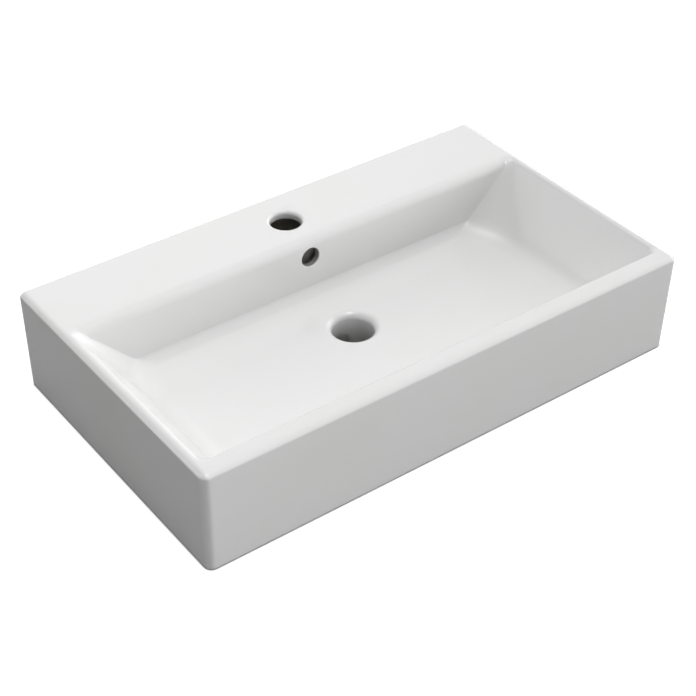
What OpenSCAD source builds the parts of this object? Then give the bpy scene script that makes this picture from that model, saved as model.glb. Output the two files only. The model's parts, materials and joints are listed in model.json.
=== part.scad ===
// Rectangular countertop basin in white glazed ceramic: a bowl with sloping walls, a flat tap deck
// at the back, one tap hole, one overflow hole and one waste hole. Millimetres. The origin is at the
// centre of the footprint on the worktop, with +X to the right, +Y to the back and +Z up.

/* [Overall] */
// Overall width, left to right
basin_w = 600; // [500:10:720]
// Overall depth, front to back
basin_d = 350; // [320:10:420]
// Overall height, from the worktop to the rim
basin_h = 120; // [105:5:150]
// How far the front and side walls lean in at the bottom
wall_draft = 1.5; // [0:0.5:3]
// Radius of the two front vertical corners
corner_r = 7.5; // [5:0.5:10]
// Radius of the outer edge of the rim, at the front and the sides
rim_r = 7.5; // [4:0.5:9]

/* [Bowl] */
// Depth of the bowl, from the rim to the edge of its floor
bowl_depth = 68.5; // [60:0.5:76]
// How far the floor falls from its edge to the waste hole
floor_fall = 1; // [0.5:0.5:4]
// Width of the side rims, from the outer face to where the bowl wall would meet the top
side_rim_w = 11.5; // [10:0.5:20]
// Width of the front rim, measured the same way
front_rim_w = 22; // [20:1:30]
// Depth of the tap deck, measured the same way
deck_depth = 94.5; // [92:0.5:115]
// Lean of the side walls of the bowl, in degrees from upright
side_lean = 36; // [20:1:45]
// Lean of the back wall of the bowl
back_lean = 2; // [1:1:12]
// Lean of the front wall of the bowl
front_lean = 4; // [1:1:12]
// Radius of the fillet between the front and back walls and the floor
fillet_r = 8; // [5:1:14]
// Radius of the wider fillet between the side walls and the floor
side_fillet_r = 34; // [20:1:40]
// Depth of the slanted faces in the corners of the bowl, at its floor
corner_face_d = 25; // [20:1:44]
// Radius of the crease where those faces meet the front and back walls
crease_r = 3; // [2:0.5:6]
// Plan radius of the bowl's corners at the rim
mouth_corner_r = 8; // [6:1:12]
// Radius of the inner edge of the front and side rims
lip_r = 7; // [3:1:9]
// Radius of the front edge of the tap deck
deck_lip_r = 11; // [4:1:12]

/* [Holes] */
// Diameter of the tap hole
tap_hole_d = 35; // [32:1:38]
// Distance from the back face to the centre of the tap hole
tap_hole_from_back = 48; // [45:1:52]
// Radius of the edge of the tap hole
tap_edge_r = 4; // [0.5:0.5:5]
// Diameter of the overflow hole
overflow_d = 23; // [16:1:26]
// Depth of the overflow hole's centre below the rim
overflow_drop = 23; // [20:1:32]
// Radius of the edge of the overflow hole
overflow_edge_r = 1; // [0.5:0.5:2]
// Diameter of the waste hole
waste_d = 46; // [40:1:50]
// How far the waste hole sits behind the middle of the basin
waste_back = 2; // [-20:1:10]
// Radius of the soft edge of the waste hole
waste_edge_r = 8; // [4:1:10]

/* [Clay] */
// Thickness of the bowl
bowl_t = 8; // [6:0.5:9]
// Thickness of the front and side walls at the top
apron_t = 10; // [9:0.5:12]
// Thickness of the rear wall
back_wall_t = 12; // [8:0.5:14]
// Thickness of the tap deck
deck_t = 9; // [7:0.5:12]
// Depth of the solid clay behind the inner edge of the rim
rim_t = 10; // [8:0.5:14]
// Width of the foot ring inside the walls
foot_w = 14; // [8:1:20]
// Height of the foot ring
foot_h = 10; // [6:1:14]
// Thickness of the two ribs below the bowl
rib_t = 12; // [8:1:16]
// Height of the ribs beside the bowl
rib_h = 60; // [50:1:70]
// Distance of each rib from the middle
rib_x = 130; // [110:5:150]
// Thickness of the two webs below the tap deck
web_t = 9; // [6:1:12]
// Depth of the webs below the rim
web_drop = 48; // [36:1:60]
// Distance of each web from the middle
web_x = 75; // [50:5:90]

/* [Waste and overflow] */
// Wall of the boss around the waste hole
boss_wall = 14; // [10:1:18]
// Gap between the boss and the worktop
boss_gap = 4; // [3:1:10]
// Clear width of the overflow duct
duct_w = 44; // [30:1:50]
// Clear depth of the overflow duct behind the bowl
duct_gap = 6.5; // [5:0.5:8]
// Wall of the overflow duct
duct_t = 3.5; // [3:0.5:6]
// Width of the window where the duct opens into the waste
window_w = 24; // [12:1:26]
// Height of that window
window_h = 5; // [5:1:12]

/* [Hidden] */
round_fn = 96;
blend_fn = 32;
over = 1;
rim_clear = 1.5;
waste_flat_w = 2;
seam_clear = 2;
sliver = 0.01;
half_w = basin_w / 2;
half_d = basin_d / 2;
inner_x = half_w - apron_t;
inner_front_y = apron_t - half_d;
inner_back_y = half_d - back_wall_t;
floor_z = basin_h - bowl_depth;
waste_z = floor_z - floor_fall;
tap_y = half_d - tap_hole_from_back;
flat_around_waste_r = waste_d / 2 + waste_edge_r + waste_flat_w;
boss_r = waste_d / 2 + boss_wall;
// Drops below the rim at which the rounded inner edge of the rim is drawn
lip_steps = 4;
lip_drops = [for (i = [0 : lip_steps]) deck_lip_r * (1 - cos(i * (90 - back_lean) / lip_steps))];
// Lines where the bowl's walls, carried on upwards, would meet the top
wall_x = half_w - side_rim_w;
wall_front_y = front_rim_w - half_d;
wall_back_y = half_d - deck_depth;
overflow_z = basin_h - overflow_drop;
overflow_y = wall_back_y - overflow_drop * tan(back_lean);
// Underside of the solid rim, which stays above the overflow hole
rim_low_z = max(basin_h - rim_t, overflow_z + overflow_d / 2 + rim_clear);
// Rear face and inner floor of the overflow duct
duct_back_y = overflow_y + bowl_t / cos(back_lean) + duct_gap + duct_t;
duct_floor_z = boss_gap + duct_t;
// The tap deck starts behind the overflow duct and behind the rounded edge of the deck
seam_y = max(duct_back_y, wall_back_y + lip_reach(deck_lip_r, back_lean) + seam_clear);

glaze = [0.95, 0.95, 0.94];
bare_clay = [0.86, 0.84, 0.8];

// Distance from the wall line to where a rounded edge runs out on the top
function lip_reach(r, lean) = r * tan((90 - lean) / 2);

// Distance of the bowl's surface outside the wall line, at a drop below the rim
function lip_offset(r, lean, drop) =
    drop < r * (1 - sin(lean))
        ? lip_reach(r, lean) - sqrt(pow(r, 2) - pow(r - drop, 2))
        : -drop * tan(lean);

// Distance from the wall line in to the centre of a fillet that touches the wall and the floor
function fillet_inset(r, lean) = (r + sin(lean) * (bowl_depth - r)) / cos(lean);

// A ball with facet corners at its poles and on its equator
module ball(r) {
    step = 360 / blend_fn;
    rotate_extrude($fn = blend_fn)
        polygon([for (i = [0 : blend_fn / 2]) r * [sin(i * step), -cos(i * step)]]);
}

// A stretched ball, which rounds the bowl's walls into its floor
module fillet_ball(x, y, radii, grow) {
    translate([x, y, floor_z + radii.z])
        scale([radii.x + grow, radii.y + grow, radii.z + grow])
            ball(1);
}

// Four upright corner posts of the bowl's mouth, at a drop below the rim
module mouth_posts(drop, tall, side, front, back, r) {
    for (x = [r - wall_x - side, wall_x + side - r])
        for (y = [wall_front_y - front + r, wall_back_y + back - r])
            translate([x, y, basin_h - drop])
                cylinder(r = r, h = tall, $fn = blend_fn);
}

// The bowl's space up to its wall lines, grown outwards by a thickness of clay
module bowl_form(grow) {
    fillet_x = wall_x - fillet_inset(side_fillet_r, side_lean);
    front_y = wall_front_y + fillet_inset(fillet_r, front_lean);
    back_y = wall_back_y - fillet_inset(fillet_r, back_lean);
    hull() {
        mouth_posts(
            0, sliver, grow / cos(side_lean), grow / cos(front_lean), grow / cos(back_lean),
            mouth_corner_r + grow
        );
        for (x = [-fillet_x, fillet_x]) {
            for (y = [front_y, back_y])
                fillet_ball(x, y, [crease_r, fillet_r, fillet_r], grow);
            for (y = [front_y + corner_face_d, back_y - corner_face_d])
                fillet_ball(x, y, [side_fillet_r, fillet_r, side_fillet_r], grow);
        }
        translate([0, waste_back, waste_z - grow])
            cylinder(r = flat_around_waste_r, h = sliver, $fn = blend_fn);
    }
}

// One height of the rounded inner edge of the rim
module lip_posts(drop, tall) {
    mouth_posts(
        drop, tall, lip_offset(lip_r, side_lean, drop), lip_offset(lip_r, front_lean, drop),
        lip_offset(deck_lip_r, back_lean, drop),
        mouth_corner_r + max(0, lip_offset(lip_r, side_lean, drop))
    );
}

// The whole open space of the bowl, with the rounded edge of its mouth
module bowl_space() {
    bowl_form(0);
    for (i = [1 : len(lip_drops) - 1])
        hull() {
            lip_posts(lip_drops[i], sliver);
            lip_posts(lip_drops[i - 1], i == 1 ? over : sliver);
        }
}

// The basin's outer shape as one solid block
module block() {
    hull() {
        for (x = [-1, 1]) {
            translate([x * (half_w - wall_draft - corner_r), wall_draft + corner_r - half_d, 0])
                cylinder(r = corner_r, h = sliver, $fn = blend_fn);
            translate([x * (half_w - corner_r), corner_r - half_d, basin_h - rim_r - sliver])
                cylinder(r = corner_r, h = sliver, $fn = blend_fn);
            translate([x * (half_w - rim_r), rim_r - half_d, basin_h - rim_r])
                ball(rim_r);
            translate([x * (half_w - rim_r), half_d, basin_h - rim_r])
                rotate([90, 0, 0])
                    cylinder(r = rim_r, h = sliver, $fn = blend_fn);
            translate([x * (half_w - wall_draft - sliver / 2), half_d - sliver / 2, sliver / 2])
                cube(sliver, center = true);
        }
    }
}

// A box from one corner to the opposite one
module span(low, high) {
    translate(low)
        cube(high - low);
}

// A hole down from a surface at z = 0, with a rounded edge
module edged_hole(r, edge_r, deep) {
    translate([0, 0, -deep])
        cylinder(r = r, h = deep + over, $fn = round_fn);
    rotate_extrude($fn = round_fn)
        difference() {
            translate([0, -edge_r])
                square([r + edge_r, edge_r + over]);
            translate([r + edge_r, -edge_r])
                circle(r = edge_r, $fn = round_fn);
        }
}

// Everything inside the apron's walls, in front of a given depth
module inside_walls(back_y, low_z, high_z) {
    span([-inner_x, inner_front_y, low_z], [inner_x, back_y, high_z]);
}

// Inner basin: walls, floor, inner edge of the rim and the funnel of the waste hole
module bowl() {
    color(glaze)
        difference() {
            intersection() {
                union() {
                    bowl_form(bowl_t);
                    inside_walls(seam_y, rim_low_z, basin_h);
                }
                inside_walls(seam_y, 0, basin_h);
            }
            bowl_space();
            translate([0, waste_back, waste_z])
                edged_hole(waste_d / 2, waste_edge_r, 2 * bowl_t);
            translate([0, overflow_y, overflow_z])
                rotate([90 - back_lean, 0, 0])
                    edged_hole(overflow_d / 2, overflow_edge_r, bowl_t + duct_gap / 2);
        }
}

// Outer front and side walls with the rounded rim
module apron() {
    color(glaze)
        difference() {
            block();
            bowl_space();
            inside_walls(half_d + over, -over, basin_h + over);
        }
}

// Rear wall below the tap deck
module back_wall() {
    color(bare_clay)
        span([-inner_x, inner_back_y, 0], [inner_x, half_d, basin_h - deck_t]);
}

// Flat shelf behind the bowl, with the tap hole
module tap_deck() {
    color(glaze)
        difference() {
            span([-inner_x, seam_y, basin_h - deck_t], [inner_x, half_d, basin_h]);
            translate([0, tap_y, basin_h])
                edged_hole(tap_hole_d / 2, tap_edge_r, 2 * deck_t);
        }
}

// Duct that leads water from the overflow hole down and under the bowl to the waste
module overflow_duct() {
    duct_half = duct_w / 2 + duct_t;
    inner_back = duct_back_y - duct_t;
    color(bare_clay)
        difference() {
            span([-duct_half, waste_back, boss_gap], [duct_half, duct_back_y, rim_low_z]);
            bowl_form(bowl_t);
            span([-duct_w / 2, 0, duct_floor_z], [duct_w / 2, inner_back, basin_h]);
            translate([0, waste_back, 0])
                cylinder(r = boss_r, h = basin_h, $fn = round_fn);
        }
}

// Thick ring below the floor, which the waste fitting clamps on
module waste_boss() {
    color(bare_clay)
        difference() {
            translate([0, waste_back, boss_gap])
                cylinder(r = boss_r, h = waste_z - boss_gap, $fn = round_fn);
            bowl_form(bowl_t);
            translate([0, waste_back, 0])
                cylinder(r = waste_d / 2, h = basin_h, $fn = round_fn);
            span(
                [-window_w / 2, waste_back, duct_floor_z],
                [window_w / 2, waste_back + 2 * boss_r, duct_floor_z + window_h]
            );
        }
}

// Flat flange inside the lower edge, which the basin stands on
module foot_ring() {
    color(bare_clay)
        difference() {
            inside_walls(inner_back_y, 0, foot_h);
            span(
                [foot_w - inner_x, inner_front_y + foot_w, -over],
                [inner_x - foot_w, inner_back_y - foot_w, foot_h + over]
            );
        }
}

// Upright rib from front to back that carries the bowl on the worktop
module rib(x) {
    color(bare_clay)
        difference() {
            span([x - rib_t / 2, inner_front_y, 0], [x + rib_t / 2, inner_back_y, rib_h]);
            bowl_form(bowl_t);
            foot_ring();
        }
}

module left_rib() {
    rib(-rib_x);
}

module right_rib() {
    rib(rib_x);
}

// Upright web between the bowl and the rear wall that carries the tap deck
module web(x) {
    color(bare_clay)
        difference() {
            span(
                [x - web_t / 2, 0, basin_h - web_drop],
                [x + web_t / 2, inner_back_y, basin_h - deck_t]
            );
            bowl_form(bowl_t);
            inside_walls(seam_y, rim_low_z, basin_h);
        }
}

module left_web() {
    web(-web_x);
}

module right_web() {
    web(web_x);
}

bowl();
apron();
back_wall();
tap_deck();
overflow_duct();
waste_boss();
foot_ring();
left_rib();
right_rib();
left_web();
right_web();
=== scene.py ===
import bmesh
import bpy
import json
import math
from mathutils import Matrix, Vector

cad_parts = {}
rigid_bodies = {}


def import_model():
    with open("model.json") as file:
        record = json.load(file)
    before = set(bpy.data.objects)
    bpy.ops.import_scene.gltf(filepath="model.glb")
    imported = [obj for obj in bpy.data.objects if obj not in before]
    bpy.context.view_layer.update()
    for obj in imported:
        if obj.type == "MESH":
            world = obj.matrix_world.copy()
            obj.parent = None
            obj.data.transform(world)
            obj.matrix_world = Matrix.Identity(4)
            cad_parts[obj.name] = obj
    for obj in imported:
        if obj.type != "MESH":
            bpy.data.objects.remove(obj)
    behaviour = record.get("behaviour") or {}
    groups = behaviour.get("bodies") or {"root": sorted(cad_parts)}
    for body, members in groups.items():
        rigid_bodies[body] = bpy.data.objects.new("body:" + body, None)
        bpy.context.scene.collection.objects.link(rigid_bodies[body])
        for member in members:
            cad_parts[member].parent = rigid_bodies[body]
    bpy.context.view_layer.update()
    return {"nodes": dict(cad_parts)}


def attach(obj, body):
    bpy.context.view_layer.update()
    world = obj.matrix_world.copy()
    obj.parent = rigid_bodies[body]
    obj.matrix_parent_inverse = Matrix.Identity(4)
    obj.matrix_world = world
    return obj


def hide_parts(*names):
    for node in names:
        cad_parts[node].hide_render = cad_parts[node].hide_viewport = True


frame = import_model()
mm = 0.001
print("frame loaded with", len(frame["nodes"]), "nodes")


camera = {
    "turn": -36.93,             # degrees round the basin, 0 is straight in front
    "height": 37.63,            # degrees above the worktop
    "roll": 0.58,
    "aside": (-6.78, -29.78),   # sideways and upwards, mm
    "distance": 1726.15,        # mm from the middle of the basin
    "focal": 1613.9,            # in pixels of the picture
    "picture": 696,             # width of the picture in pixels
    "sensor": 36,
    "middleHeight": 60.0,
    "clip": (0.05, 50),         # m
}


def direction(turn, height):
    # from the basin towards a place, in degrees round it and above the worktop
    turn, height = math.radians(turn), math.radians(height)
    return Vector((math.sin(turn) * math.cos(height), -math.cos(turn) * math.cos(height), math.sin(height)))


def placeCamera(p):
    turn, roll = math.radians(p["turn"]), math.radians(p["roll"])
    back = direction(p["turn"], p["height"])
    level = Vector((math.cos(turn), math.sin(turn), 0))
    upright = back.cross(level)
    right = level * math.cos(roll) + upright * math.sin(roll)
    up = upright * math.cos(roll) - level * math.sin(roll)
    sideways, upwards = p["aside"]
    spot = Vector((0, 0, p["middleHeight"])) + back * p["distance"] + right * sideways + up * upwards
    data = bpy.data.cameras.new("camera")
    data.sensor_width = p["sensor"]
    data.lens = p["focal"] / p["picture"] * p["sensor"]
    data.clip_start, data.clip_end = p["clip"]
    obj = bpy.data.objects.new("camera", data)
    bpy.context.scene.collection.objects.link(obj)
    axes = Matrix((right, up, back)).transposed().to_4x4()
    axes.translation = spot * mm
    obj.matrix_world = axes
    bpy.context.scene.camera = obj


placeCamera(camera)
print("camera placed")


class Value:
    # one shader socket that can be added, multiplied and compared
    def __init__(self, shader, socket):
        self.shader = shader
        self.socket = socket

    def maths(self, operation, *others):
        return self.shader.node("ShaderNodeMath", {"operation": operation}, dict(enumerate((self,) + others)))

    def __add__(self, other): return self.maths("ADD", other)
    def __radd__(self, other): return self.maths("ADD", other)
    def __mul__(self, other): return self.maths("MULTIPLY", other)
    def __rmul__(self, other): return self.maths("MULTIPLY", other)
    def __sub__(self, other): return self.maths("SUBTRACT", other)
    def __rsub__(self, other): return self.maths("MULTIPLY", -1.0).maths("ADD", other)
    def __lt__(self, other): return self.maths("LESS_THAN", other)
    def __gt__(self, other): return self.maths("GREATER_THAN", other)


class Shader:
    def __init__(self, owner):
        owner.use_nodes = True
        self.tree = owner.node_tree
        self.tree.nodes.clear()

    def node(self, kind, settings=None, inputs=None, output=0):
        made = self.tree.nodes.new(kind)
        for name, value in (settings or {}).items():
            setattr(made, name, value)
        for name, value in (inputs or {}).items():
            if isinstance(value, Value):
                self.tree.links.new(value.socket, made.inputs[name])
            else:
                made.inputs[name].default_value = value
        return Value(self, made.outputs[output]) if made.outputs else None

    def mix(self, factor, first, second):
        # a colour mix; sockets 6 and 7 are the two colours
        return self.node(
            "ShaderNodeMix", {"data_type": "RGBA"}, {0: factor, 6: first, 7: second}, output=2
        )

    def place(self):
        # the point on the object, in metres
        return self.node("ShaderNodeTexCoord", output=3)

    def along(self, axis):
        return self.node("ShaderNodeSeparateXYZ", {}, {"Vector": self.place()}, output=axis)

    def noise(self, scale, detail=2.0, rough=0.5):
        return self.node(
            "ShaderNodeTexNoise", {},
            {"Vector": self.place(), "Scale": scale, "Detail": detail, "Roughness": rough}
        )

    def dots(self, scale, size, share):
        # round dots of a soft edge, sown evenly but kept only where a slow noise is above share
        spread, level = share
        cells = self.node("ShaderNodeTexVoronoi", {}, {"Vector": self.place(), "Scale": scale})
        return self.steps(cells, *size, 1.0, 0.0) * (self.noise(spread) > level)

    def bump(self, height):
        return self.node("ShaderNodeBump", {}, {"Strength": 1.0, "Distance": 1.0, "Height": height})

    def steps(self, value, low, high, start=0.0, end=1.0):
        # value from low to high becomes start to end, smoothly and held at both ends
        return self.node(
            "ShaderNodeMapRange", {"interpolation_type": "SMOOTHSTEP"},
            {"Value": value, "From Min": low, "From Max": high, "To Min": start, "To Max": end}
        )


glazeLook = {
    # a noise is written as scale, detail and roughness
    "colour": (0.80, 0.80, 0.798, 1),
    "warm": (0.79, 0.788, 0.78, 1),     # where the glaze has run thicker
    "clouds": (9, 3), "cloudEdge": (0.45, 0.75),
    "roughness": (0.03, 0.07),
    "smears": (34, 4, 0.6), "smearEdge": (0.35, 0.7),
    "waves": (26, 1), "waveHeight": 0.00005,        # slow waves in the glaze, height in m
    "peel": (420, 2), "peelHeight": 0.000012,       # fine orange peel
    "pinholes": (95.0, (0.02, 0.055), (60, 0.62)), "pinholeDepth": 0.00004,
    "index": 1.5,
    "throatShade": (0.30, 0.30, 0.295, 1),     # painted shade: the lower end of the waste hole, darkened to grey
    "throatShadeHeight": (0.010, 0.046),       # m above the worktop, from fully darkened to plain glaze
}


def makeGlaze(name, p, throatShade=False):
    material = bpy.data.materials.new(name)
    s = Shader(material)
    colour = s.mix(s.steps(s.noise(*p["clouds"]), *p["cloudEdge"]), p["colour"], p["warm"])
    # painted shade: the glaze greys towards the throat's lower end, where little light reaches
    if throatShade:
        colour = s.mix(s.steps(s.along(2), *p["throatShadeHeight"], 1.0, 0.0), colour, p["throatShade"])
    rough = s.steps(s.noise(*p["smears"]), *p["smearEdge"], *p["roughness"])
    waves = s.noise(*p["waves"]) * p["waveHeight"] + s.noise(*p["peel"]) * p["peelHeight"]
    bump = s.bump(waves - s.dots(*p["pinholes"]) * p["pinholeDepth"])
    shaded = s.node(
        "ShaderNodeBsdfPrincipled", {},
        {"Base Color": colour, "Roughness": rough, "Normal": bump, "IOR": p["index"]}
    )
    s.node("ShaderNodeOutputMaterial", {}, {"Surface": shaded})
    return material


clayLook = {
    "colour": (0.78, 0.755, 0.70, 1),
    "dark": (0.69, 0.655, 0.59, 1),
    "mottle": (24, 5, 0.6), "mottleEdge": (0.35, 0.7),
    "speck": (0.42, 0.35, 0.27, 1),
    "specks": (260.0, (0.05, 0.11), (90, 0.58)),
    "ground": (0.83, 0.815, 0.775, 1),      # the foot's face, ground flat
    "groundHeight": 0.0005,                 # m above the worktop
    "groundSmooths": 0.7,                   # how much of the grain the grinding takes away
    "grain": (900, 4, 0.7), "grainHeight": 0.00018,
    "lumps": (70, 2), "lumpHeight": 0.00036,
    "scratchStretch": (9.0, 1.0, 1.0), "scratchScale": 120.0, "scratchDetail": 3.0, "scratchHeight": 0.000072,
    "roughness": (0.66, 0.86), "groundGloss": 0.14,
    "roughPatches": (50, 3), "roughEdge": (0.3, 0.7),
}


def makeClay(name, p):
    material = bpy.data.materials.new(name)
    s = Shader(material)
    colour = s.mix(s.steps(s.noise(*p["mottle"]), *p["mottleEdge"]), p["colour"], p["dark"])
    colour = s.mix(s.dots(*p["specks"]), colour, p["speck"])
    ground = s.along(2) < p["groundHeight"]
    colour = s.mix(ground, colour, p["ground"])
    grain = s.noise(*p["grain"]) * p["grainHeight"] + s.noise(*p["lumps"]) * p["lumpHeight"]
    stretched = s.node("ShaderNodeMapping", {}, {"Vector": s.place(), "Scale": p["scratchStretch"]})
    scratches = s.node(
        "ShaderNodeTexNoise", {},
        {"Vector": stretched, "Scale": p["scratchScale"], "Detail": p["scratchDetail"]}
    )
    bump = s.bump(grain * (1 - ground * p["groundSmooths"]) + scratches * ground * p["scratchHeight"])
    rough = s.steps(s.noise(*p["roughPatches"]), *p["roughEdge"], *p["roughness"]) - ground * p["groundGloss"]
    shaded = s.node(
        "ShaderNodeBsdfPrincipled", {},
        {"Base Color": colour, "Roughness": rough, "Normal": bump}
    )
    s.node("ShaderNodeOutputMaterial", {}, {"Surface": shaded})
    return material


# painted shade: clay darkened to the grey of the shade inside the overflow's bore
shadedBoreLook = dict(clayLook, colour=(0.3, 0.295, 0.29, 1), dark=(0.22, 0.216, 0.21, 1))
# painted shade: clay darkened to the grey of the shade inside the overflow's duct
shadedDuctLook = dict(clayLook, colour=(0.5, 0.49, 0.48, 1), dark=(0.4, 0.39, 0.38, 1))

glaze = makeGlaze("whiteGlaze", glazeLook)
# the throat's glaze, with painted shade at its lower end
throatGlaze = makeGlaze("shadedThroatGlaze", glazeLook, throatShade=True)
bareClay = makeClay("bareClay", clayLook)
shadedBoreClay = makeClay("shadedBoreClay", shadedBoreLook)
shadedDuctClay = makeClay("shadedDuctClay", shadedDuctLook)
bodyMaterials = (glaze, bareClay, shadedBoreClay, throatGlaze)
# the third and fourth are the overflow bore's clay and the throat's glaze, both with painted shade
glazed, bare, shadedBore, shadedThroat = range(4)
print("materials made")


# all measures of the body are in mm and degrees
outside = {
    "side": 300.0, "front": -175.0, "back": 175.0, "top": 120.0,
    "draft": 1.5,           # how far the front and sides lean in at the bottom
    "frontCorner": 8.5,
    "backCorner": 1.5,
    "leastCorner": 0.3,
    "rimLow": 2.5, "rimHigh": 9.2, "rimTurn": 50,   # the rim is round low down and flatter above this turn
    "backEdge": 1.5,
    "arris": 1.6,           # rounding at the lower edge
    "wallLow": 4, "wallHigh": 3,    # the flat of the wall, from the foot and from the rim
    "margin": 1.5,          # rings this far from an edge keep the shading of the flat beside it even
    "flatCorner": 1,
}
bowl = {
    "side": 288.5, "front": -153.0, "back": 80.5,   # where the walls would meet the top
    "sideLean": 36, "frontLean": 4, "backLean": 2,
    "lip": 6.8, "frontLip": 4.0, "deckLip": 10.5,
    "lipFlat": (0.3, 0.15),     # rings on the narrow flat between the rim and the lip
    "mouthCorner": 8.0,
    "mouthShares": (0.586, 0.586, 0.2, 0.39),       # two cuts and their roundings that make up its corner
    "floor": 51.5,
    "floorSlope": (0.004, 2),   # the floor begins to fall this much, this far from the walls
    "fillet": 8.0, "sideFillet": 34.0,
    "cove": 17.4, "coveSlopes": (18, 62),   # flat hollow along the front and back, creased at both ends
    "cornerFace": (21.0, 35.0),     # how far the slanted faces cut each corner, along x and y
    "cornerCrease": 1.5,            # rounding where a slanted face meets the front or back wall
    "creaseSoftens": 10.0,          # and how much rounder it is at the floor
    "cornerBlend": 22.0,            # soft turn from a slanted face into the side wall
    "thick": 8.0,
    "shellTop": 108,                # where the bowl's hidden side ends under the rim
    # heights of the rings below the top, above the floor and above the floor's underside
    "drops": (0, 0.16, 0.63, 1.41, 2.1, 2.6, 2.81, 3.7, 4.9, 5.9, 6.33, 7.4, 8.5, 9.4, 9.86, 10.13),
    "rises": (14.2, 14.0, 12.2, 10.4, 8.7, 8.45, 8.3, 7.2, 5.9, 4.8, 3.7, 2.7, 1.85, 1.1, 0.5, 0.15, 0.001),
    "shellRises": (0.002, 0.4, 1.4, 3.2, 5.4, 8, 10.6, 13, 15.6, 17.2),
}
waste = {
    "y": 2.0, "radius": 23.0, "edge": 8.0, "edgeSteps": 8, "flat": 2.0, "top": 50.5, "throatTop": 30,
    "bossRadius": 37.0, "bossLow": 4.0, "bossEdge": 1.0, "bossHigh": 41, "bossRoot": (2, 0.9),
    "window": (7.5, 12.5), "windowFaces": 8,        # opening of the overflow's duct
}
tapHole = {"y": 127.0, "radius": 17.5, "edge": 4.0, "edgeSteps": 8, "patch": 24.0}
overflow = {
    "z": 97.0, "radius": 11.5, "edge": 0.9, "edgeSteps": 4, "patchLow": 82.0, "patchSide": 15.0,
    "shellLow": 80.0,
}
inside = {
    "side": 290.0, "front": -165.0, "back": 163.0, "top": 111.0, "corner": 2.0, "gap": 0.4,
    "flange": 14.0, "flangeTop": 10.0, "flangeEdge": 1.0,
}
bore = {"support": 0.3, "edgeSupport": 0.4}     # rings this near the ends of a bore keep its shading even
creaseSteps, blendSteps = 5, 6
cornerSteps = creaseSteps + blendSteps + 1
ringPoints = 4 * (cornerSteps + 1)
flatGap, liftGap = 0.1, 5       # rings nearer than the first in height are lifted by the second to join them
# planes (a point, a direction) of extra cuts just short of the corners, which keep long sides evenly shaded
shadingCuts = (
    ((214, 0, 56), (57, 0, -52)), ((0, 38, 56), (0, 57, -28)), ((0, -112, 56), (0, 57, 28)),
    ((-214, 0, 56), (57, 0, 52)), ((288.5, 0, 0), (1, 0, 0)), ((-288.5, 0, 0), (1, 0, 0)),
    ((0, -164, 0), (0, 1, 0)), ((0, 171, 0), (0, 1, 0)),
)


def newEdges(bm, make):
    before = set(bm.edges)
    make()
    return [e for e in bm.edges if e not in before]


def ring(bm, z, side, front, back, frontCorner, backCorner):
    # a level outline; a corner is a radius, or (cut along x, cut along y, rounding of each cut's end)
    def drawn():
        corners = []
        for x, y, corner in (
            (-side, front, frontCorner), (side, front, frontCorner),
            (side, back, backCorner), (-side, back, backCorner)
        ):
            if isinstance(corner, tuple):
                cutX, cutY, roundX, roundY = corner
                onSide = ((x, y + math.copysign(cutY, -y + (front + back) / 2)), roundY, blendSteps)
                onEnd = ((x - math.copysign(cutX, x), y), roundX, creaseSteps)
                pair = [onSide, onEnd]
                corners += pair if (x < 0) == (y == front) else pair[::-1]
            else:
                corners.append(((x, y), corner, cornerSteps))
        verts = [bm.verts.new((x * mm, y * mm, z * mm)) for (x, y), _, _ in corners]
        for a, b in zip(verts, verts[1:] + verts[:1]):
            bm.edges.new((a, b))
        for vert, (_, reach, steps) in zip(verts, corners):
            bmesh.ops.bevel(
                bm, geom=[vert], offset=reach * mm, offset_type="OFFSET", segments=steps,
                profile=0.5, affect="VERTICES", material=-1
            )
    return newEdges(bm, drawn)


def circle(bm, radius, place):
    return newEdges(bm, lambda: bmesh.ops.create_circle(
        bm, cap_ends=False, segments=ringPoints, radius=radius * mm, matrix=place
    ))


def join(bm, first, second, material, apart=(0, 0, 0)):
    # rings in one plane are held apart while they are bridged, or the bridge comes out twisted
    verts = list({v for e in second for v in e.verts})
    apart = Vector(apart) * mm
    bmesh.ops.translate(bm, vec=apart, verts=verts)
    faces = bmesh.ops.bridge_loops(bm, edges=first + second)["faces"]
    bmesh.ops.translate(bm, vec=-apart, verts=verts)
    for face in faces:
        face.material_index = material


class Skin:
    # rings joined one after another into a closed skin
    def __init__(self, bm):
        self.bm = bm
        self.first = self.last = None

    def add(self, edges, material):
        if self.last:
            heights = [loop[0].verts[0].co.z for loop in (self.last, edges)]
            flat = abs(heights[0] - heights[1]) < flatGap * mm
            join(self.bm, self.last, edges, material, (0, 0, liftGap if flat else 0))
        self.first = self.first or edges
        self.last = edges

    def outline(self, material, z, side, front, back, frontCorner, backCorner):
        self.add(ring(self.bm, z, side, front, back, frontCorner, backCorner), material)

    def close(self, material):
        join(self.bm, self.last, self.first, material, (0, 0, liftGap))


def arc(count, start=0, end=90):
    return [math.radians(start + (end - start) * i / count) for i in range(count + 1)]


def holeEdge(p):
    # radius and depth of the rings round a hole's rounded edge
    return [
        (p["radius"] + p["edge"] * (1 - math.sin(a)), p["edge"] * (1 - math.cos(a)))
        for a in arc(p["edgeSteps"])
    ]


def lipOffset(radius, lean, drop):
    # how far a rounded lip stands out from the line of its wall
    lean = math.radians(lean)
    if drop < radius * (1 - math.sin(lean)):
        reach = radius * math.tan((math.pi / 2 - lean) / 2)
        return reach - math.sqrt(radius ** 2 - (radius - drop) ** 2)
    return -drop * math.tan(lean)


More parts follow.
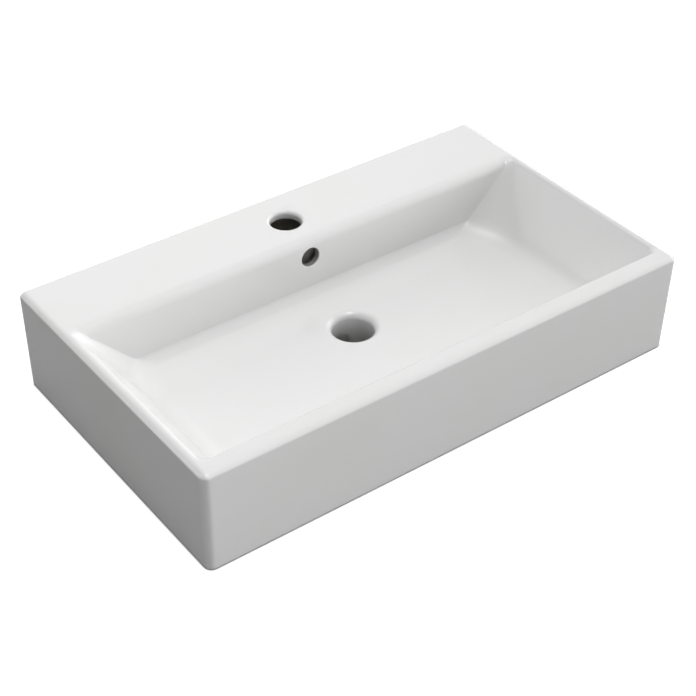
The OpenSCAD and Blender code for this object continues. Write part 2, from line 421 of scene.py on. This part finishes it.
def bowlOutline(p, z, grow=0.0):
    # the bowl's outline at a height; grow gives its outer surface
    top = outside["top"]
    drop = top - z
    filletZ = p["floor"] + p["fillet"]

    def line(lip, lean):
        a = math.radians(lean)
        return grow / math.cos(a) + (lipOffset(lip, lean, drop) if grow == 0 else -drop * math.tan(a))

    def coved(lip, lean):
        flat, steep = (math.radians(v) for v in p["coveSlopes"])
        height = p["cove"] * (math.cos(flat) - math.cos(steep))
        rise = z + grow - p["floor"]
        if rise >= height:
            return line(lip, lean)
        slope = math.acos(max(-1, math.cos(flat) - max(0.0, rise) / p["cove"]))
        foot = grow - (top - p["floor"] - height) * math.tan(math.radians(lean))
        return foot - p["cove"] * (math.sin(steep) - math.sin(slope))

    def filleted(lip, lean):
        a = math.radians(lean)
        radius = p["sideFillet"]
        middle = p["floor"] + radius - z
        if middle <= (radius + grow) * math.sin(a):
            return line(lip, lean)
        inset = (radius + math.sin(a) * (top - p["floor"] - radius)) / math.cos(a)
        return math.sqrt(max(0.0, (radius + grow) ** 2 - middle ** 2)) - inset

    side = p["side"] + filleted(p["lip"], p["sideLean"])
    front = p["front"] - coved(p["frontLip"], p["frontLean"])
    back = p["back"] + coved(p["deckLip"], p["backLean"])
    # the slanted face in each corner runs from the floor up to the rounded corner of the mouth,
    # creased against the front and back walls and soft where it meets the floor
    soft = max(0.0, min(1.0, (filletZ - z) / (p["fillet"] + grow)))
    cutX, cutY = p["cornerFace"]
    cut = (cutX + grow, cutY, p["cornerCrease"] + p["creaseSoftens"] * soft, p["cornerBlend"])
    widening = max(0.0, lipOffset(p["lip"], p["sideLean"], drop) if grow == 0 else 0.0)
    rounding = p["mouthCorner"] + grow + widening
    mouth = [share * rounding for share in p["mouthShares"]]
    t = max(0.0, (z - filletZ) / (top - filletZ))
    corner = tuple((1 - t) * a + t * b for a, b in zip(cut, mouth))
    return side, front, back, corner, corner


def addOutside(skin, p):
    turn = math.radians(p["rimTurn"])
    wallTop = p["top"] - p["rimLow"] * math.cos(turn) - p["rimHigh"] * (1 - math.cos(turn))

    def outerRing(z, inset, backInset):
        lean = p["draft"] * max(0.0, 1 - z / wallTop)
        skin.outline(
            glazed, z, p["side"] - lean - inset, p["front"] + lean + inset, p["back"] - backInset,
            max(p["leastCorner"], p["frontCorner"] - inset), max(p["leastCorner"], p["backCorner"] - backInset)
        )

    for a in arc(4):
        inset = p["arris"] * (1 - math.sin(a))
        outerRing(p["arris"] * (1 - math.cos(a)), inset, inset)
    outerRing(p["wallLow"], 0, 0)
    outerRing(wallTop - p["wallHigh"], 0, 0)
    rim = [
        (p["rimLow"] * (1 - math.sin(a)), wallTop + p["rimLow"] * math.cos(a))
        for a in arc(4, 90, p["rimTurn"])
    ]
    inset, height = rim[-1]
    rim += [
        (
            inset + p["rimHigh"] * (math.sin(turn) - math.sin(a)),
            height + p["rimHigh"] * (math.cos(a) - math.cos(turn))
        )
        for a in arc(8, p["rimTurn"], 0)[1:]
    ]
    for inset, z in rim:
        drop = max(0.0, z - (p["top"] - p["backEdge"]))
        outerRing(z, inset, p["backEdge"] - math.sqrt(p["backEdge"] ** 2 - drop ** 2))
    return inset


def addBowl(skin, p, rimInset):
    # the flat of the rim and the tap deck, then the inside of the bowl down to its floor
    top, margin = outside["top"], outside["margin"]
    side, front, back, corner, _ = bowlOutline(p, top)
    outer, inner = p["lipFlat"]
    skin.outline(
        glazed, top, side + outer, outside["front"] + rimInset + margin,
        outside["back"] - outside["backEdge"] - margin, outside["flatCorner"], outside["flatCorner"]
    )
    skin.outline(glazed, top, side + inner, front - margin, back + margin, corner, corner)
    levels = [top - drop for drop in p["drops"]] + [overflow["patchLow"]]
    levels += [p["floor"] + rise for rise in p["rises"]]
    for z in levels:
        skin.outline(glazed, z, *bowlOutline(p, z))
    side, front, back, corner, _ = bowlOutline(p, p["floor"])
    fall, away = p["floorSlope"]
    skin.outline(glazed, p["floor"] - fall, side - away, front + away, back - away, corner, corner)


def addWaste(skin, p):
    # the funnel and throat of the waste hole, and the boss round it
    def wasteRing(radius, z, material):
        place = Matrix.Translation((0, p["y"] * mm, z * mm))
        skin.add(circle(skin.bm, radius, place), material)

    low, high = p["window"]
    foot, corner = p["bossLow"], p["bossLow"] + p["bossEdge"]
    wasteRing(p["radius"] + p["edge"] + p["flat"], p["top"], glazed)
    for radius, depth in holeEdge(p):
        wasteRing(radius, p["top"] - depth, glazed)
    # the throat takes the glaze with painted shade
    for z in (p["throatTop"], high, low, corner):
        wasteRing(p["radius"], z, shadedThroat)
    wasteRing(p["radius"] + p["bossEdge"], foot, bare)
    wasteRing(p["bossRadius"] - p["bossEdge"], foot, bare)
    for z in (corner, low, high, p["bossHigh"]):
        wasteRing(p["bossRadius"], z, bare)
    wider, lower = p["bossRoot"]
    wasteRing(p["bossRadius"] + wider, bowl["floor"] - bowl["thick"] - lower, bare)


def addUnderside(skin, p, n):
    # the bowl's hidden side, the inside of the outer walls and the foot flange
    levels = [p["floor"] - p["thick"] + rise for rise in p["shellRises"]]
    for z in levels + [overflow["shellLow"], p["shellTop"]]:
        skin.outline(bare, z, *bowlOutline(p, z, p["thick"]))
    side, front, back, corner, _ = bowlOutline(p, p["shellTop"], p["thick"])
    skin.outline(bare, n["top"], min(side, n["side"] - n["gap"]), front, back, corner, corner)
    for z, inset in (
        (n["top"], 0), (n["flangeTop"], 0), (n["flangeTop"], n["flange"] - n["flangeEdge"]),
        (n["flangeTop"] - n["flangeEdge"], n["flange"]), (0, n["flange"])
    ):
        skin.outline(
            bare, z, n["side"] - inset, n["front"] + inset, n["back"] - inset, n["corner"], n["corner"]
        )


def faceAt(bm, spot):
    # the face whose plane holds a point and that lies nearest to it
    spot = Vector(spot) * mm
    near = [
        f for f in bm.faces
        if abs(f.normal.dot(spot - f.verts[0].co)) < 0.0002 and bmesh.geometry.intersect_face_point(f, spot)
    ]
    return min(near, key=lambda f: abs(f.normal.dot(spot - f.verts[0].co)))


def openPatch(bm, spot, cuts):
    # cuts a small piece out of a flat face round a point, and returns its edge in ringPoints pieces
    face = faceAt(bm, spot)
    for point, across in cuts:
        geometry = [face] + list(face.edges) + list(face.verts)
        bmesh.ops.bisect_plane(
            bm, geom=geometry, dist=1e-7, plane_co=Vector(point) * mm, plane_no=across
        )
        bm.normal_update()
        face = faceAt(bm, spot)
    edges = list(face.edges)
    material = face.material_index
    bmesh.ops.delete(bm, geom=[face], context="FACES_ONLY")
    split = bmesh.ops.subdivide_edges(bm, edges=edges, cuts=ringPoints // 4 - 1)
    rim = {e for e in split["geom"] if isinstance(e, bmesh.types.BMEdge)} | {e for e in edges if e.is_valid}
    return [e for e in rim if e.is_boundary], material


def boreHole(bm, upper, lower, place, rings, bareDepth=math.inf):
    # joins two opened patches by circles of given radius and depth along the hole's own axis;
    # below the depth given the bore takes clay darkened as painted shade
    (upperRim, upperMaterial), (lowerRim, _) = upper, lower
    apart = place.to_3x3() @ Vector((0, 0, -liftGap))
    last = upperRim
    for radius, depth in rings:
        new = circle(bm, radius, place @ Matrix.Translation((0, 0, -depth * mm)))
        join(bm, last, new, upperMaterial if depth < bareDepth else shadedBore, apart)
        last = new
    join(bm, last, lowerRim, bare, apart)


def boreEnd(p, depth):
    # the straight lower part of a bore, with support rings at both ends
    radius, near = p["radius"], bore["support"]
    return [(radius, depth - near), (radius, depth), (radius + near, depth)]


def cutTapHole(bm, p):
    half = p["patch"]
    x, y = Vector((1, 0, 0)), Vector((0, 1, 0))
    square = [
        ((-half, 0, 0), x), ((half, 0, 0), x), ((0, p["y"] - half, 0), y), ((0, p["y"] + half, 0), y)
    ]
    upper = openPatch(bm, (0, p["y"], outside["top"]), square)
    lower = openPatch(bm, (0, p["y"], inside["top"]), square)
    rings = holeEdge(p) + [(p["radius"], p["edge"] + bore["edgeSupport"])]
    rings += boreEnd(p, outside["top"] - inside["top"])
    boreHole(bm, upper, lower, Matrix.Translation((0, p["y"] * mm, outside["top"] * mm)), rings)


def cutOverflow(bm, p):
    lean = math.radians(bowl["backLean"])
    thick = bowl["thick"]
    wallY = bowl["back"] - (outside["top"] - p["z"]) * math.tan(lean)
    half = p["patchSide"]
    x = Vector((1, 0, 0))
    sides = [((-half, 0, 0), x), ((half, 0, 0), x)]
    upper = openPatch(bm, (0, wallY, p["z"]), sides)
    lower = openPatch(bm, (0, wallY + thick / math.cos(lean), p["z"]), sides)
    place = Matrix.Translation((0, wallY * mm, p["z"] * mm)) @ Matrix.Rotation(math.pi / 2 - lean, 4, "X")
    near = bore["support"]
    rings = holeEdge(p) + [(p["radius"], p["edge"] + near), (p["radius"], p["edge"] + 2 * near)]
    rings += boreEnd(p, thick)
    # below its rounded edge the overflow's bore gets clay with painted shade
    boreHole(bm, upper, lower, place, rings, p["edge"] + bore["edgeSupport"])


def openWindow(bm, p):
    # the window where the overflow's duct opens into the waste
    low, high = p["window"]
    limit = math.pi * p["windowFaces"] / ringPoints
    gone = []
    for face in bm.faces:
        spot = face.calc_center_median() / mm
        x, y = spot.x, spot.y - p["y"]
        if low < spot.z < high and math.hypot(x, y) < p["bossRadius"] and abs(math.atan2(x, y)) < limit:
            gone.append(face)
    around = {e for f in gone for e in f.edges if not all(g in gone for g in e.link_faces)}
    bmesh.ops.delete(bm, geom=gone, context="FACES")
    join(bm, [e for e in around if e.is_valid], [], bare)
    print("holes cut:", len(gone), "faces opened for the window")


def makeBody():
    bm = bmesh.new()
    skin = Skin(bm)
    rimInset = addOutside(skin, outside)
    addBowl(skin, bowl, rimInset)
    addWaste(skin, waste)
    addUnderside(skin, bowl, inside)
    skin.close(bare)
    bm.normal_update()
    print("basin body closed:", len(bm.faces), "faces")

    for point, across in shadingCuts:
        bmesh.ops.bisect_plane(
            bm, geom=list(bm.faces) + list(bm.edges) + list(bm.verts), dist=1e-7,
            plane_co=Vector(point) * mm, plane_no=Vector(across).normalized()
        )
    bm.normal_update()
    cutTapHole(bm, tapHole)
    cutOverflow(bm, overflow)
    openWindow(bm, waste)
    bmesh.ops.recalc_face_normals(bm, faces=bm.faces)

    mesh = bpy.data.meshes.new("basinBody")
    bm.to_mesh(mesh)
    loose = [e for e in bm.edges if not e.is_manifold]
    print("basin body:", len(bm.verts), "points,", len(bm.faces), "faces,", len(loose), "open edges")
    bm.free()
    mesh.shade_smooth()
    made = bpy.data.objects.new("basinBody", mesh)
    bpy.context.scene.collection.objects.link(made)
    for material in bodyMaterials:
        mesh.materials.append(material)
    return made


body = makeBody()
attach(body, "root")
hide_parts("bowl", "apron", "tap_deck", "back_wall", "waste_boss", "foot_ring")

# the overflow's duct takes the clay with painted shade, the other hidden parts plain clay
for name in ("overflow_duct", "left_rib", "right_rib", "left_web", "right_web"):
    node = frame["nodes"][name]
    node.data.materials.clear()
    node.data.materials.append(shadedDuctClay if name == "overflow_duct" else bareClay)
print("hidden clay parts given their material")


studio = {
    "floorSize": 8.0,
    "floorColour": (0.34, 0.34, 0.34, 1),
    "floorSeen": 0.85,          # how bright the floor's own white is to the camera
    "floorMirrored": 0.05,      # and in the glaze
    "contact": 0.0025,          # width of the painted contact shadow where the basin stands on the floor, m
    "contactEdge": (0.35, 0.92),    # share of open sky, from the darkest to the plain floor
    "contactShadowTone": (0.05, 0.05, 0.05, 1),
    "contactSamples": 16,
    "covered": (0.29, 0.165),   # the floor that the basin covers, painted in shadow, half its width and depth, m
    "coveredShadowTone": (0.02, 0.02, 0.02, 1),
    "white": (1, 1, 1, 1),
    "glow": {
        # degrees round the basin, degrees above the worktop, strength, sharpness (higher is smaller)
        "frontLow": (0, 3, 3.6, 40),
        "frontHigh": (0, 70, 10.3, 40),
        "overhead": (0, 90, 1.6, 40),
        "rightLow": (60, 3, 11.4, 40),
        "right": (90, 30, 4.6, 40),
        "behindRightLow": (120, 14, 3.9, 40),
        "behindRight": (150, 30, 1.2, 40),
        "behind": (180, 30, 2.3, 40),
        "behindHigh": (180, 70, 3.1, 40),
        "leftLow": (229, 15, 2.4, 40),
        "left": (240, 35, 0.25, 8),
    },
}


def makeFloor(p):
    bm = bmesh.new()
    bmesh.ops.create_grid(bm, x_segments=1, y_segments=1, size=p["floorSize"] / 2)
    mesh = bpy.data.meshes.new("floor")
    bm.to_mesh(mesh)
    bm.free()
    floor = bpy.data.objects.new("floor", mesh)
    bpy.context.scene.collection.objects.link(floor)
    material = bpy.data.materials.new("paleFloor")
    s = Shader(material)
    # white to the camera, with painted shadow where the basin stands on it and covers it
    clear = s.node(
        "ShaderNodeAmbientOcclusion", {"samples": p["contactSamples"]}, {"Distance": p["contact"]}, output=1
    )
    tone = s.mix(s.steps(clear, *p["contactEdge"]), p["contactShadowTone"], p["white"])
    halfWide, halfDeep = p["covered"]
    covered = (s.along(0).maths("ABSOLUTE") < halfWide) * (s.along(1).maths("ABSOLUTE") < halfDeep)
    tone = s.mix(covered, tone, p["coveredShadowTone"])
    seen = s.node("ShaderNodeLightPath") * p["floorSeen"]
    mirrored = s.node("ShaderNodeLightPath", output=3) * p["floorMirrored"]
    white = s.node("ShaderNodeEmission", {}, {"Color": tone, "Strength": seen.maths("MAXIMUM", mirrored)})
    plain = s.node("ShaderNodeBsdfDiffuse", {}, {"Color": p["floorColour"]})
    both = s.node("ShaderNodeAddShader", {}, {0: white, 1: plain})
    s.node("ShaderNodeOutputMaterial", {}, {"Surface": both})
    mesh.materials.append(material)


def makeWorld(p):
    # soft round glows on a dark sky, which the camera itself sees as white
    world = bpy.data.worlds.new("studio")
    bpy.context.scene.world = world
    s = Shader(world)
    facing = s.node("ShaderNodeTexCoord")
    light = 0.0
    for turn, height, strength, sharpness in p["glow"].values():
        toward = s.node(
            "ShaderNodeVectorMath", {"operation": "DOT_PRODUCT"}, {0: facing, 1: direction(turn, height)},
            output=1
        )
        light = toward.maths("MAXIMUM", 0.0).maths("POWER", sharpness) * strength + light
    strength = light.maths("MAXIMUM", s.node("ShaderNodeLightPath"))
    sky = s.node("ShaderNodeBackground", {}, {"Color": p["white"], "Strength": strength})
    s.node("ShaderNodeOutputWorld", {}, {"Surface": sky})


makeFloor(studio)
makeWorld(studio)
bpy.context.scene.view_settings.view_transform = "Standard"
print("studio lit")
